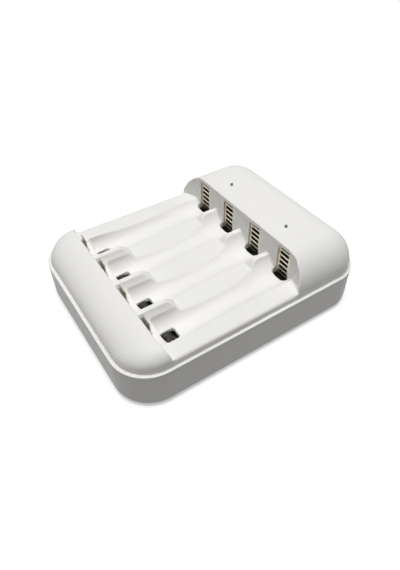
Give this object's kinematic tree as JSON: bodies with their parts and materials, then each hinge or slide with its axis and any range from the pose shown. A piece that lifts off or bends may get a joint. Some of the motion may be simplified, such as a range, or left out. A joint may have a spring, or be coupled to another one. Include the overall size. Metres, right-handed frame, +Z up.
{
  "type": "aa battery charger",
  "caption": "Low desk charger for AA and AAA cells: rounded base, domed head with ladder contacts, scooped channels with sprung leaf contacts and a rounded nose.",
  "frame": {"origin": "centre of the footprint, on the table plane under the feet", "axes": "+Z up, +Y from the nose to the head, +X across the channels"},
  "size_m": [0.0732, 0.0932, 0.0283],
  "materials": {
    "base_shell": "fine satin moulded plastic",
    "top_cover": "fine satin moulded plastic",
    "ladder_contacts": "nickel-plated sheet",
    "leaf_contacts": "nickel-plated sheet",
    "contact_bus": "nickel strip",
    "circuit_board": "solder mask over glass fibre",
    "usb_socket": "tinned sheet",
    "chips": "moulded resin",
    "capacitors": "bare can",
    "leds": "clear resin",
    "light_pipes": "clear moulded plastic",
    "case_screws": "zinc-plated",
    "rubber_feet": "matt"
  },
  "bodies": {
    "case": {"base_shell": "base_shell", "top_cover": "top_cover", "positive_contact_1": "ladder_contacts", "positive_contact_2": "ladder_contacts", "positive_contact_3": "ladder_contacts", "positive_contact_4": "ladder_contacts", "contact_bus": "contact_bus", "circuit_board": "circuit_board", "usb_socket": "usb_socket", "control_chip": "chips", "charge_transistors": "chips", "capacitors": "capacitors", "status_led_1": "leds", "status_led_2": "leds", "light_pipe_1": "light_pipes", "light_pipe_2": "light_pipes", "case_screws": "case_screws", "rubber_feet": "rubber_feet"},
    "aa_leaf_1": {"aa_contact_1": "leaf_contacts"},
    "aaa_leaf_1": {"aaa_contact_1": "leaf_contacts"},
    "aa_leaf_2": {"aa_contact_2": "leaf_contacts"},
    "aaa_leaf_2": {"aaa_contact_2": "leaf_contacts"},
    "aa_leaf_3": {"aa_contact_3": "leaf_contacts"},
    "aaa_leaf_3": {"aaa_contact_3": "leaf_contacts"},
    "aa_leaf_4": {"aa_contact_4": "leaf_contacts"},
    "aaa_leaf_4": {"aaa_contact_4": "leaf_contacts"}
  },
  "joints": [
    {"name": "aa_leaf_1_flex", "type": "hinge", "parent": "case", "child": "aa_leaf_1", "pos_m": [-0.0273, -0.03149, 0.0093], "axis": [1, 0, 0], "range_deg": [0, 4.5], "stiffness_Nm_per_rad": 0.05},
    {"name": "aaa_leaf_1_flex", "type": "hinge", "parent": "case", "child": "aaa_leaf_1", "pos_m": [-0.0234, -0.02869, 0.0093], "axis": [-1, 0, 0], "range_deg": [0, 6], "stiffness_Nm_per_rad": 0.05},
    {"name": "aa_leaf_2_flex", "type": "hinge", "parent": "case", "child": "aa_leaf_2", "pos_m": [-0.0117, -0.03149, 0.0093], "axis": [1, 0, 0], "range_deg": [0, 4.5], "stiffness_Nm_per_rad": 0.05},
    {"name": "aaa_leaf_2_flex", "type": "hinge", "parent": "case", "child": "aaa_leaf_2", "pos_m": [-0.0078, -0.02869, 0.0093], "axis": [-1, 0, 0], "range_deg": [0, 6], "stiffness_Nm_per_rad": 0.05},
    {"name": "aa_leaf_3_flex", "type": "hinge", "parent": "case", "child": "aa_leaf_3", "pos_m": [0.0039, -0.03149, 0.0093], "axis": [1, 0, 0], "range_deg": [0, 4.5], "stiffness_Nm_per_rad": 0.05},
    {"name": "aaa_leaf_3_flex", "type": "hinge", "parent": "case", "child": "aaa_leaf_3", "pos_m": [0.0078, -0.02869, 0.0093], "axis": [-1, 0, 0], "range_deg": [0, 6], "stiffness_Nm_per_rad": 0.05},
    {"name": "aa_leaf_4_flex", "type": "hinge", "parent": "case", "child": "aa_leaf_4", "pos_m": [0.0195, -0.03149, 0.0093], "axis": [1, 0, 0], "range_deg": [0, 4.5], "stiffness_Nm_per_rad": 0.05},
    {"name": "aaa_leaf_4_flex", "type": "hinge", "parent": "case", "child": "aaa_leaf_4", "pos_m": [0.0234, -0.02869, 0.0093], "axis": [-1, 0, 0], "range_deg": [0, 6], "stiffness_Nm_per_rad": 0.05}
  ]
}
